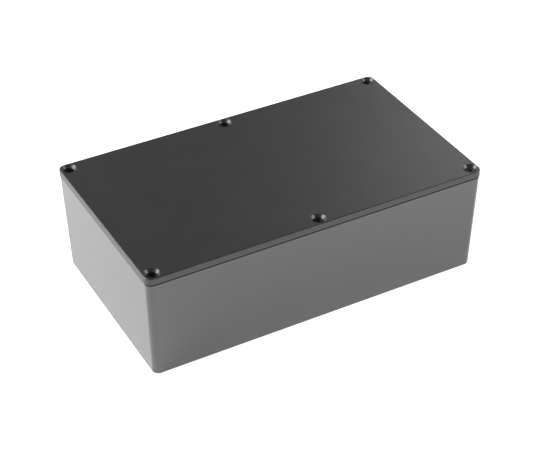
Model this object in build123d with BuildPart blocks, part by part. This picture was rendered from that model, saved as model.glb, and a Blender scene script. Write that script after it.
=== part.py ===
from build123d import *
import os
from math import copysign, radians, tan

os.makedirs("parts", exist_ok=True)

# Closed size: over the lid's lower edge, and from the underside to the lid's top face.
box_length = 192.0
box_width = 111.0
box_height = 61.0

# Outer form of the castings. All walls lean in by the draft, away from the seam.
draft_angle = 1.5
lid_side_height = 3.6
lid_overhang = 0.3
lid_corner_radius = 3.8
lid_top_edge_radius = 0.5
seam_groove_height = 0.85
seam_groove_depth = 0.9
foot_edge_radius = 0.7

# Inside of the base.
wall_thickness = 2.3
floor_thickness = 2.5
inside_floor_chamfer = 1.2

# Screw bosses: one in each corner and one half way along each long wall.
screw_columns = 3
screw_rows = 2
screw_edge_distance = 4.8
boss_radius = 4.2
boss_blend_radius = 4.0

# Inside of the lid: a lip drops inside the base's walls and rings a hollow under the plate.
lid_plate_thickness = 2.5
lip_clearance = 0.2
lip_thickness = 1.6
lip_height = 2.0
lip_lead_in = 0.4

# Countersunk machine screw of 3 mm thread with a cross recess, set below the lid's top face.
screw_radius = 1.5
screw_length = 12.0
head_radius = 2.75
head_angle = 90.0
head_sink = 1.25
recess_span = 3.2
recess_slot_width = 0.9
recess_depth = 1.1
recess_taper = 14.0

# Clearances round a screw.
thread_clearance = 0.05
lid_hole_clearance = 0.25
seat_gap = 0.03
bore_spare_depth = 2.0

# Sizes that follow from those above.
base_height = box_height - lid_side_height
rim_length = box_length - 2 * lid_overhang
rim_width = box_width - 2 * lid_overhang
rim_corner_radius = lid_corner_radius - lid_overhang
column_spacing = (box_length - 2 * screw_edge_distance) / (screw_columns - 1)
row_spacing = (box_width - 2 * screw_edge_distance) / (screw_rows - 1)
head_slope = tan(radians(head_angle / 2))
head_top = box_height - head_sink
cone_height = (head_radius - screw_radius) / head_slope
countersink_radius = head_radius + seat_gap + head_sink * head_slope
screw_tip = head_top - screw_length
thread_bore_radius = screw_radius + thread_clearance
thread_bore_depth = base_height - screw_tip + bore_spare_depth
lid_hole_radius = screw_radius + lid_hole_clearance


def cavity_outline(height, inset):
    """Inside face of the walls at the rim, flowing round the bosses and drawn inset further in."""
    with BuildSketch(Plane.XY.offset(height)) as outline:
        Rectangle(
            rim_length - 2 * (wall_thickness + inset),
            rim_width - 2 * (wall_thickness + inset),
        )
        with GridLocations(column_spacing, row_spacing, screw_columns, screw_rows):
            Circle(boss_radius + inset, mode=Mode.SUBTRACT)
        fillet(outline.vertices(), radius=boss_blend_radius - inset)
    return outline.sketch


def drafted_solid(outline, height, amount):
    """Solid on an outline that lies at that height, drawn up or down and narrowing away from it."""
    with BuildPart() as drawn:
        extrude(outline, amount=amount)
        draft(
            drawn.faces().filter_by(Plane.XY, reverse=True),
            neutral_plane=Plane.XY.offset(height),
            angle=copysign(draft_angle, amount),
        )
    return drawn.part


def drafted_plug(height, inset, amount):
    """Drafted solid on the cavity's outline."""
    return drafted_solid(cavity_outline(height, inset), height, amount)


# Core that leaves the cavity of the base. It narrows towards the floor, so the bosses widen downwards.
with BuildPart() as cavity_core:
    add(drafted_plug(base_height, 0, floor_thickness - base_height))
    chamfer(cavity_core.faces().sort_by(Axis.Z)[0].edges(), length=inside_floor_chamfer)

with BuildSketch(Plane.XY.offset(base_height)) as rim_outline:
    Rectangle(rim_length, rim_width)

# Base: drafted tray whose corners keep their radius down to the rounded foot, with full-height bosses and
# tapped bores. The rim is stepped back outside, which leaves the shadow groove under the lid.
with BuildPart() as base:
    add(drafted_solid(rim_outline.sketch, base_height, -base_height))
    fillet(base.edges().group_by(Axis.Z)[1], radius=rim_corner_radius)
    fillet(base.faces().sort_by(Axis.Z)[0].edges(), radius=foot_edge_radius)
    with BuildSketch(Plane.XY.offset(base_height)):
        RectangleRounded(box_length, box_width, lid_corner_radius)
        RectangleRounded(
            rim_length - 2 * seam_groove_depth,
            rim_width - 2 * seam_groove_depth,
            rim_corner_radius - seam_groove_depth,
            mode=Mode.SUBTRACT,
        )
    extrude(amount=-seam_groove_height, mode=Mode.SUBTRACT)
    add(cavity_core.part, mode=Mode.SUBTRACT)
    with Locations((0, 0, base_height)):
        with GridLocations(column_spacing, row_spacing, screw_columns, screw_rows):
            Hole(radius=thread_bore_radius, depth=thread_bore_depth)

# Core that leaves the hollow inside the lip. It narrows towards the plate.
lid_core = drafted_plug(
    base_height - lip_height,
    lip_clearance + lip_thickness,
    lip_height + lid_side_height - lid_plate_thickness,
)

# Lid: flanged plate with a locating lip, hollowed inside the lip and countersunk for the screws.
with BuildPart() as lid:
    with BuildSketch(Plane.XY.offset(base_height)):
        RectangleRounded(box_length, box_width, lid_corner_radius)
    extrude(amount=lid_side_height, taper=draft_angle)
    fillet(lid.faces().sort_by(Axis.Z)[-1].edges(), radius=lid_top_edge_radius)
    add(drafted_plug(base_height, lip_clearance, -lip_height))
    chamfer(lid.faces().sort_by(Axis.Z)[0].edges(), length=lip_lead_in)
    add(lid_core, mode=Mode.SUBTRACT)
    with Locations((0, 0, box_height)):
        with GridLocations(column_spacing, row_spacing, screw_columns, screw_rows):
            CounterSinkHole(
                radius=lid_hole_radius,
                counter_sink_radius=countersink_radius,
                counter_sink_angle=head_angle,
                depth=lid_side_height,
            )

# One screw on the Z axis at the height where it sits in the closed lid.
with BuildPart() as screw:
    with BuildSketch(Plane.XZ):
        with BuildLine():
            Polyline(
                (0, head_top),
                (head_radius, head_top),
                (screw_radius, head_top - cone_height),
                (screw_radius, screw_tip),
                (0, screw_tip),
                close=True,
            )
        make_face()
    revolve(axis=Axis.Z)
    with BuildSketch(Plane.XY.offset(head_top)):
        Rectangle(recess_span, recess_slot_width)
        Rectangle(recess_slot_width, recess_span)
    extrude(amount=-recess_depth, taper=recess_taper, mode=Mode.SUBTRACT)

# The six screws, one over each boss.
with BuildPart() as lid_screws:
    with GridLocations(column_spacing, row_spacing, screw_columns, screw_rows):
        add(screw.part)

base.part.label = "base"
lid.part.label = "lid"
lid_screws.part.label = "lid_screws"

export_step(base.part, "parts/base.step")
export_step(lid.part, "parts/lid.step")
export_step(lid_screws.part, "parts/lid_screws.step")
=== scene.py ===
from math import cos, pi, radians, sin

import bmesh
import bpy
from mathutils import Matrix, Vector


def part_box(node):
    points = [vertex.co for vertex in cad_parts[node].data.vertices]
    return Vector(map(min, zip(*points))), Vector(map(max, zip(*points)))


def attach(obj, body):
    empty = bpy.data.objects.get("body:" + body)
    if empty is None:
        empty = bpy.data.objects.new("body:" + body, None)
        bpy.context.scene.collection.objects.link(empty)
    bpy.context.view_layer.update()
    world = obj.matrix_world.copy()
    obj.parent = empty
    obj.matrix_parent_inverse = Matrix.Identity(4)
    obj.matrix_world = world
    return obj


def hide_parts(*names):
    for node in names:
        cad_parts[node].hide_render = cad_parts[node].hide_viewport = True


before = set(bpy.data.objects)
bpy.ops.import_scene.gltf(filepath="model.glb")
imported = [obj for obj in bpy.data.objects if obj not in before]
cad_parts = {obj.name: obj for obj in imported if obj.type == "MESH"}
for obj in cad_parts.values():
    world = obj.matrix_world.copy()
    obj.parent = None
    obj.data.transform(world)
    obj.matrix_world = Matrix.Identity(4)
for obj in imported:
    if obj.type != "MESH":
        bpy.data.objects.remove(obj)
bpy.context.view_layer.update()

MM = 0.001

# Camera: fitted to the straight edges of the box, in a frame of 540 x 450 pixels.
CAMERA_AZIMUTH = radians(-28.48)
CAMERA_ELEVATION = radians(36.03)
CAMERA_ROLL = radians(-0.4)
CAMERA_DISTANCE = 0.8265
CAMERA_SHIFT_UP = 0.0199
CAMERA_NEAR = 0.01
CAMERA_FAR = 50
LENS_MM = 101.4
SENSOR_MM = 36.0

# Screws: 3 mm thread of 0.5 mm pitch, countersunk at 90 degrees. The head's edge break has a ring half way,
# at a share of its size in from the top and from the side. The tip's radius shrinks by its slope.
HEAD_RADIUS = 2.75 * MM
HEAD_LAND = 0.12 * MM
HEAD_EDGE = 0.06 * MM
HEAD_EDGE_MIDDLE = 0.3
SHANK_RADIUS = 1.5 * MM
THREAD_PITCH = 0.5 * MM
THREAD_DEPTH = 0.27 * MM
THREAD_FADE = 0.6 * MM
NECK_LENGTH = 0.9 * MM
TIP_TAPER = 0.5 * MM
TIP_SLOPE = 0.8
STEPS_PER_TURN = 48
ROWS_PER_PITCH = 8
SMOOTH_ANGLE = radians(40)

# Cross recess: its wings narrow to a share of their size at the floor.
RECESS_SPAN = 3.2 * MM
RECESS_WIDTH = 0.85 * MM
RECESS_DEPTH = 1.3 * MM
RECESS_FLOOR_SHARE = 0.55
RECESS_CUT_ABOVE = 0.5 * MM

# Degrees that each screw is turned, front row first.
SCREW_TURNS = (12, 48, 5, 80, 33, 61)

# Tapped bores of the base: depth below the rim, the room left round the screw's thread, and the share of
# the screw's thread depth that theirs has.
BORE_RADIUS = 1.55 * MM
BORE_DEPTH = 11.6 * MM
BORE_LEAD_IN = 0.6 * MM
BORE_THREAD_SHARE = 0.9
THREAD_ROOM = 0.03 * MM
WELD_DISTANCE = 1e-7

# Black coat: tones, the sizes of its noises as scales, and the grain's share in roughness and relief.
COAT_DARK = (0.026, 0.026, 0.027)
COAT_PALE = (0.031, 0.031, 0.032)
SPECK_TONE = (0.05, 0.05, 0.05)
SPECK_EDGES = (0.04, 0.1)
SPECK_SHARE = 0.5
MOTTLE_SCALE = 60.0
GRAIN_SCALE = 2600.0
SPECK_SCALE = 900.0
GRAIN_ROUGHNESS = 0.04
GRAIN_BUMP = 0.35
GRAIN_HEIGHT = 0.03 * MM

# Each casting's coat: gloss, varnish and roughness.
COATS = {
    "base": (1.0, 0.5, 0.3),
    "lid": (0.8, 0.0, 0.34),
}

# Metals: dark and pale tone, the scale of their clouds, and roughness.
STEEL_TONES = ((0.04, 0.04, 0.042), (0.07, 0.07, 0.072))
STEEL_SCALE = 500.0
STEEL_ROUGHNESS = (0.25, 0.4)
BARE_TONES = ((0.32, 0.32, 0.33), (0.52, 0.52, 0.53))
BARE_SCALE = 900.0
BARE_ROUGHNESS = 0.35

# Where the clouds and the mottling pass from the dark tone to the pale one.
CLOUD_EDGES = (0.3, 0.7)

# Lamps: place, size and watts of each soft panel.
LAMPS = {
    "left_panel": ((-0.7, 0.5, 0.75), (0.7, 0.7), 13.2),
    "right_panel": ((0.8, -0.35, 0.55), (0.5, 0.5), 3.8),
    "back_panel": ((1.1, 0.96, 0.89), (0.65, 0.65), 2.1),
}

# Surround: a pale band along the horizon under a dim upper part. One passes into the other between two
# heights, each the Z of a direction seen.
BAND_LEVEL = 1.0
SKY_LEVEL = 0.1
BAND_TOP = (0.17, 0.36)

# Floor: a disc whose glow shows to camera, glossy and transmission rays, and lights no dull surface.
FLOOR_RADIUS = 12
FLOOR_SEGMENTS = 96
FLOOR_ALBEDO = 0.6
FLOOR_ROUGHNESS = 0.9
FLOOR_GLOW = 0.93


def new_material(name):
    """A material with its shader and a function that adds and wires up nodes."""
    material = bpy.data.materials.new(name)
    material.use_nodes = True
    tree = material.node_tree
    shader = tree.nodes["Principled BSDF"]

    def add(kind, inputs=None, **settings):
        node = tree.nodes.new(kind)
        for key, value in settings.items():
            setattr(node, key, value)
        for key, value in (inputs or {}).items():
            if isinstance(value, bpy.types.NodeSocket):
                tree.links.new(value, node.inputs[key])
            else:
                node.inputs[key].default_value = value
        return node

    return material, tree, shader, add


def ramp(add, factor, low, high, start, end):
    """A colour ramp from low to high between two places."""
    node = add("ShaderNodeValToRGB", {"Fac": factor})
    node.color_ramp.elements[0].position = start
    node.color_ramp.elements[1].position = end
    node.color_ramp.elements[0].color = (*low, 1)
    node.color_ramp.elements[1].color = (*high, 1)
    return node.outputs["Color"]


def coat_material(name, gloss, varnish, roughness):
    """Satin black coat on a casting: fine grain, slight mottling and a few pale specks."""
    material, tree, shader, add = new_material(name)
    place = add("ShaderNodeTexCoord").outputs["Object"]
    mottle = add("ShaderNodeTexNoise", {"Vector": place, "Scale": MOTTLE_SCALE, "Detail": 4.0})
    grain = add("ShaderNodeTexNoise", {"Vector": place, "Scale": GRAIN_SCALE, "Detail": 2.0})
    speck = add("ShaderNodeTexVoronoi", {"Vector": place, "Scale": SPECK_SCALE})
    base = ramp(add, mottle.outputs["Fac"], COAT_DARK, COAT_PALE, *CLOUD_EDGES)
    pale = ramp(add, speck.outputs["Distance"], SPECK_TONE, (0, 0, 0), *SPECK_EDGES)
    lift = add(
        "ShaderNodeMix",
        {"Factor": SPECK_SHARE, "A": base, "B": pale},
        data_type="RGBA",
        blend_type="ADD",
    )
    tree.links.new(lift.outputs["Result"], shader.inputs["Base Color"])
    rough = add(
        "ShaderNodeMapRange",
        {
            "Value": grain.outputs["Fac"],
            "To Min": roughness - GRAIN_ROUGHNESS,
            "To Max": roughness + GRAIN_ROUGHNESS,
        },
    )
    tree.links.new(rough.outputs["Result"], shader.inputs["Roughness"])
    shader.inputs["Specular IOR Level"].default_value = gloss
    shader.inputs["Coat Weight"].default_value = varnish
    shader.inputs["Coat Roughness"].default_value = roughness
    bump = add(
        "ShaderNodeBump",
        {"Height": grain.outputs["Fac"], "Strength": GRAIN_BUMP, "Distance": GRAIN_HEIGHT},
    )
    tree.links.new(bump.outputs["Normal"], shader.inputs["Normal"])
    tree.links.new(bump.outputs["Normal"], shader.inputs["Coat Normal"])
    return material


def metal_material(name, tones, scale):
    """A metal with clouds of two tones. The clouds come with it, for its roughness."""
    material, tree, shader, add = new_material(name)
    place = add("ShaderNodeTexCoord").outputs["Object"]
    cloud = add("ShaderNodeTexNoise", {"Vector": place, "Scale": scale, "Detail": 3.0})
    tone = ramp(add, cloud.outputs["Fac"], *tones, *CLOUD_EDGES)
    tree.links.new(tone, shader.inputs["Base Color"])
    shader.inputs["Metallic"].default_value = 1.0
    return material, tree, shader, add, cloud.outputs["Fac"]


def steel_material():
    """Black plated steel: dark, polished by the plating and uneven."""
    material, tree, shader, add, clouds = metal_material(
        "black_plated_steel", STEEL_TONES, STEEL_SCALE
    )
    low, high = STEEL_ROUGHNESS
    rough = add("ShaderNodeMapRange", {"Value": clouds, "To Min": low, "To Max": high})
    tree.links.new(rough.outputs["Result"], shader.inputs["Roughness"])
    return material


def bare_material():
    """Bare aluminium where the bores are tapped through the coat."""
    material, _, shader, _, _ = metal_material("bare_aluminium", BARE_TONES, BARE_SCALE)
    shader.inputs["Roughness"].default_value = BARE_ROUGHNESS
    return material


def thread_wave(turns):
    """Height of a V thread, from 0 at its root to 1 at its crest, after so many turns."""
    return 1 - abs(2 * (turns % 1) - 1)


def tube_rows(bm, rows):
    """Joins rings of vertices, each a list, into a skin. A ring of one vertex closes an end."""
    rings = [[bm.verts.new(point) for point in row] for row in rows]
    for above, below in zip(rings, rings[1:]):
        count = max(len(above), len(below))
        for i in range(count):
            j = (i + 1) % count
            if len(above) == 1:
                bm.faces.new((above[0], below[i], below[j]))
            elif len(below) == 1:
                bm.faces.new((above[j], above[i], below[0]))
            else:
                bm.faces.new((above[j], above[i], below[i], below[j]))
    bmesh.ops.recalc_face_normals(bm, faces=bm.faces)


def ring(radius, height):
    """Points of a circle about the Z axis. The radius may depend on the angle, as a share of a turn."""
    points = []
    for i in range(STEPS_PER_TURN):
        share = i / STEPS_PER_TURN
        r = radius(share) if callable(radius) else radius
        points.append((r * cos(2 * pi * share), r * sin(2 * pi * share), height))
    return points


def smooth(mesh):
    """Shades a mesh smooth apart from its sharp edges."""
    mesh.shade_smooth()
    mesh.set_sharp_from_angle(angle=SMOOTH_ANGLE)


def finish_mesh(name, bm, material):
    """Turns the bmesh into a smooth mesh of one material."""
    mesh = bpy.data.meshes.new(name)
    bm.to_mesh(mesh)
    bm.free()
    mesh.materials.append(material)
    smooth(mesh)
    return mesh


def screw_blank(length):
    """Head and threaded shank of a screw whose head's top is at the origin, with no recess."""
    land_radius = HEAD_RADIUS - HEAD_LAND
    neck = -(HEAD_RADIUS - SHANK_RADIUS)
    thread_top = neck - NECK_LENGTH
    rows = [
        [(0, 0, 0)],
        ring(land_radius - HEAD_EDGE, 0),
        ring(land_radius - HEAD_EDGE_MIDDLE * HEAD_EDGE, -HEAD_EDGE_MIDDLE * HEAD_EDGE),
        ring(land_radius, -HEAD_EDGE),
        ring(land_radius, -HEAD_LAND),
        ring(SHANK_RADIUS, neck),
        ring(SHANK_RADIUS, thread_top),
    ]
    count = round((length + thread_top) / THREAD_PITCH * ROWS_PER_PITCH)
    for k in range(1, count + 1):
        height = thread_top - k * (length + thread_top) / count
        fade = min(1, (thread_top - height) / THREAD_FADE)
        tip = min(0, (height + length) - TIP_TAPER) * TIP_SLOPE

        def radius(share, height=height, fade=fade, tip=tip):
            wave = thread_wave(height / THREAD_PITCH - share)
            depth = fade * THREAD_DEPTH * (1 - wave)
            return min(SHANK_RADIUS - depth, SHANK_RADIUS + tip)

        rows.append(ring(radius, height))
    rows.append([(0, 0, -length)])
    bm = bmesh.new()
    tube_rows(bm, rows)
    return bm


def recess_cutter():
    """Cross recess with sloping wings, cut from above."""
    bm = bmesh.new()
    half_span, half_width = RECESS_SPAN / 2, RECESS_WIDTH / 2
    levels = (
        (RECESS_CUT_ABOVE, half_span, half_width),
        (0, half_span, half_width),
        (-RECESS_DEPTH, RECESS_FLOOR_SHARE * half_span, RECESS_FLOOR_SHARE * half_width),
    )
    for turn in (0, pi / 2):
        rotation = Matrix.Rotation(turn, 3, "Z")
        corners = [
            bm.verts.new(rotation @ Vector((sx * span, sy * width, height)))
            for height, span, width in levels
            for sx, sy in ((-1, -1), (1, -1), (1, 1), (-1, 1))
        ]
        bm.faces.new(corners[0:4])
        bm.faces.new(corners[8:12])
        for level in (0, 4):
            for i in range(4):
                a, b = level + i, level + (i + 1) % 4
                bm.faces.new((corners[a], corners[b], corners[b + 4], corners[a + 4]))
    bmesh.ops.recalc_face_normals(bm, faces=bm.faces)
    return bm


def cut(mesh, cutter_bm):
    """The mesh less the cutter's volume."""
    body = bpy.data.objects.new("blank", mesh)
    cutter_mesh = bpy.data.meshes.new("cutter")
    cutter_bm.to_mesh(cutter_mesh)
    cutter_bm.free()
    cutter = bpy.data.objects.new("cutter", cutter_mesh)
    for obj in (body, cutter):
        bpy.context.scene.collection.objects.link(obj)
    modifier = body.modifiers.new("cut", "BOOLEAN")
    modifier.object = cutter
    modifier.solver = "EXACT"
    modifier.use_self = True
    depsgraph = bpy.context.evaluated_depsgraph_get()
    result = bpy.data.meshes.new_from_object(body.evaluated_get(depsgraph))
    for obj in (body, cutter):
        bpy.data.objects.remove(obj)
    bpy.data.meshes.remove(cutter_mesh)
    return result


def screw_mesh(length, material):
    """The whole screw: blank less its recess."""
    blank = finish_mesh("screw_blank", screw_blank(length), material)
    mesh = cut(blank, recess_cutter())
    smooth(mesh)
    return mesh


def bore_thread_mesh(screw_drop, material):
    """Thin sleeve with the base's thread. Its origin is the screw's, screw_drop above the rim."""
    top = -screw_drop - BORE_LEAD_IN
    bottom = -screw_drop - BORE_DEPTH + THREAD_PITCH
    count = round((top - bottom) / THREAD_PITCH * ROWS_PER_PITCH)
    outside = BORE_RADIUS - THREAD_ROOM / 3
    inner = []
    for k in range(count + 1):
        height = top - k * (top - bottom) / count

        def radius(share, height=height):
            wave = thread_wave(height / THREAD_PITCH - share)
            depth = THREAD_DEPTH * (1 - wave) * BORE_THREAD_SHARE
            return SHANK_RADIUS + THREAD_ROOM / 2 - depth

        inner.append(ring(radius, height))
    bm = bmesh.new()
    tube_rows(bm, [ring(outside, bottom), ring(outside, top), *inner, ring(outside, bottom)])
    bmesh.ops.remove_doubles(bm, verts=bm.verts, dist=WELD_DISTANCE)
    bmesh.ops.recalc_face_normals(bm, faces=bm.faces)
    return finish_mesh("bore_thread", bm, material)


def screw_places():
    """Head centre of each screw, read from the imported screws."""
    low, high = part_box("lid_screws")
    middle = (low + high) / 2
    reach_x = (high.x - low.x) / 2 - HEAD_RADIUS
    reach_y = (high.y - low.y) / 2 - HEAD_RADIUS
    return [
        Vector((middle.x + column * reach_x, middle.y + row * reach_y, high.z))
        for row in (-1, 1)
        for column in (-1, 0, 1)
    ]


def add_screws():
    """Six separate screws, each turned its own way, and the tapped bores that they came out of."""
    low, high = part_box("lid_screws")
    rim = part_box("base")[1].z
    steel, bare = steel_material(), bare_material()
    screw = screw_mesh(high.z - low.z, steel)
    thread = bore_thread_mesh(high.z - rim, bare)
    for number, (place, turn) in enumerate(zip(screw_places(), SCREW_TURNS), start=1):
        for name, mesh, body, slot in (
            (f"lid_screw_{number}", screw, "screws", "screw_steel"),
            (f"bore_thread_{number}", thread, "base", "casting_coat"),
        ):
            piece = bpy.data.objects.new(name, mesh)
            bpy.context.scene.collection.objects.link(piece)
            piece.location = place
            piece.rotation_euler.z = radians(turn)
            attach(piece, body)
            if body == "screws":
                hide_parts("lid_screws")


def dress_castings():
    """Gives both castings their coat, a little duller on the lid."""
    for name, finish in COATS.items():
        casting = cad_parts[name]
        casting.data.materials.clear()
        casting.data.materials.append(coat_material(f"satin_black_coat_{name}", *finish))


def add_camera():
    """The photograph's camera."""
    back = Vector((
        sin(CAMERA_AZIMUTH) * cos(CAMERA_ELEVATION),
        -cos(CAMERA_AZIMUTH) * cos(CAMERA_ELEVATION),
        sin(CAMERA_ELEVATION),
    ))
    level = Vector((cos(CAMERA_AZIMUTH), sin(CAMERA_AZIMUTH), 0))
    upright = back.cross(level)
    right = cos(CAMERA_ROLL) * level + sin(CAMERA_ROLL) * upright
    up = cos(CAMERA_ROLL) * upright - sin(CAMERA_ROLL) * level
    data = bpy.data.cameras.new("camera")
    data.sensor_width = SENSOR_MM
    data.lens = LENS_MM
    data.clip_start = CAMERA_NEAR
    data.clip_end = CAMERA_FAR
    camera = bpy.data.objects.new("camera", data)
    place = back * CAMERA_DISTANCE + up * CAMERA_SHIFT_UP
    turned = Matrix((right, up, back)).transposed().to_4x4()
    camera.matrix_world = Matrix.Translation(place) @ turned
    bpy.context.scene.collection.objects.link(camera)
    bpy.context.scene.camera = camera


def add_lamps():
    """Soft panels round the box, each facing it. The camera doesn't see them."""
    centre = Vector((0, 0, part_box("lid")[1].z / 2))
    for name, (place, size, watts) in LAMPS.items():
        data = bpy.data.lights.new(name, "AREA")
        data.shape = "RECTANGLE"
        data.size, data.size_y = size
        data.energy = watts
        lamp = bpy.data.objects.new(name, data)
        lamp.location = place
        lamp.visible_camera = False
        lamp.rotation_euler = (Vector(place) - centre).to_track_quat("Z", "Y").to_euler()
        bpy.context.scene.collection.objects.link(lamp)


def add_world():
    """A plain grey surround, pale along the horizon and dim above."""
    world = bpy.data.worlds.new("surround")
    bpy.context.scene.world = world
    world.use_nodes = True
    tree = world.node_tree
    shown = tree.nodes["Background"]
    shown.inputs["Color"].default_value = (1, 1, 1, 1)
    place = tree.nodes.new("ShaderNodeTexCoord")
    parts = tree.nodes.new("ShaderNodeSeparateXYZ")
    tree.links.new(place.outputs["Generated"], parts.inputs["Vector"])
    level = tree.nodes.new("ShaderNodeMapRange")
    level.interpolation_type = "SMOOTHSTEP"
    level.inputs["From Min"].default_value = BAND_TOP[0]
    level.inputs["From Max"].default_value = BAND_TOP[1]
    level.inputs["To Min"].default_value = BAND_LEVEL
    level.inputs["To Max"].default_value = SKY_LEVEL
    tree.links.new(parts.outputs["Z"], level.inputs["Value"])
    tree.links.new(level.outputs["Result"], shown.inputs["Strength"])


def add_floor():
    """A wide white floor that keeps the object's shadow."""
    bm = bmesh.new()
    bmesh.ops.create_circle(bm, cap_ends=True, segments=FLOOR_SEGMENTS, radius=FLOOR_RADIUS)
    mesh = bpy.data.meshes.new("floor")
    bm.to_mesh(mesh)
    bm.free()
    material, tree, shader, add = new_material("floor_white")
    shader.inputs["Base Color"].default_value = (FLOOR_ALBEDO, FLOOR_ALBEDO, FLOOR_ALBEDO, 1)
    shader.inputs["Roughness"].default_value = FLOOR_ROUGHNESS
    shader.inputs["Specular IOR Level"].default_value = 0.0
    rays = add("ShaderNodeLightPath")
    seen = add(
        "ShaderNodeMath",
        {0: rays.outputs["Is Camera Ray"], 1: rays.outputs["Is Glossy Ray"]},
        operation="MAXIMUM",
    )
    glow = add(
        "ShaderNodeMath",
        {0: seen.outputs[0], 1: rays.outputs["Is Transmission Ray"]},
        operation="MAXIMUM",
    )
    shader.inputs["Emission Color"].default_value = (1, 1, 1, 1)
    lift = add("ShaderNodeMath", {0: glow.outputs[0], 1: FLOOR_GLOW}, operation="MULTIPLY")
    tree.links.new(lift.outputs[0], shader.inputs["Emission Strength"])
    mesh.materials.append(material)
    floor = bpy.data.objects.new("floor", mesh)
    bpy.context.scene.collection.objects.link(floor)


add_camera()
dress_castings()
add_screws()
add_floor()
add_world()
add_lamps()
bpy.context.scene.view_settings.view_transform = "Standard"
